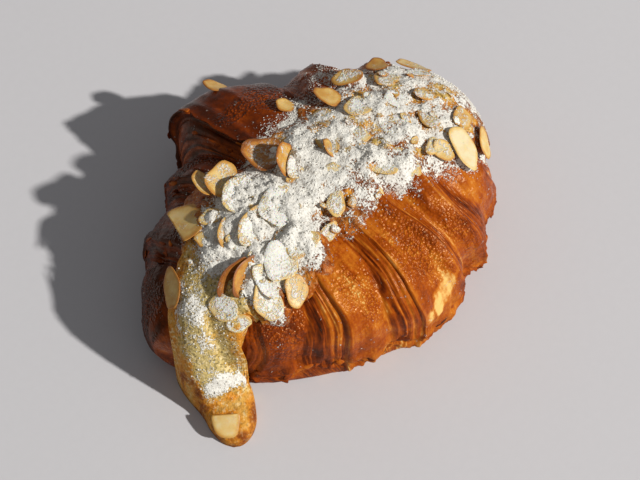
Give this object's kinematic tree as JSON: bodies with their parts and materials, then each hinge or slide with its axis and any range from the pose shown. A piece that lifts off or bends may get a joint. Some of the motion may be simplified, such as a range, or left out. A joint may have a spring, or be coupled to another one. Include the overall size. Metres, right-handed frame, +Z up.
{
  "type": "almond croissant",
  "caption": "Rolled, layered croissant with almond cream, flaked almonds and sugar along its ridge and a tongue of cream running off its end.",
  "frame": {"origin": "middle of the flat underside, on the surface the croissant lies on", "axes": "+X along the roll from the cream's tongue to the blunt end, +Y to the side turned away in the picture, +Z up"},
  "size_m": [0.1708, 0.1336, 0.0657],
  "materials": {
    "crust": "egg-washed, baked brown crust",
    "cream": "baked almond cream dusted with fine sugar"
  },
  "bodies": {
    "root": {"pastry": "crust", "almond_cream": "cream"}
  },
  "joints": []
}
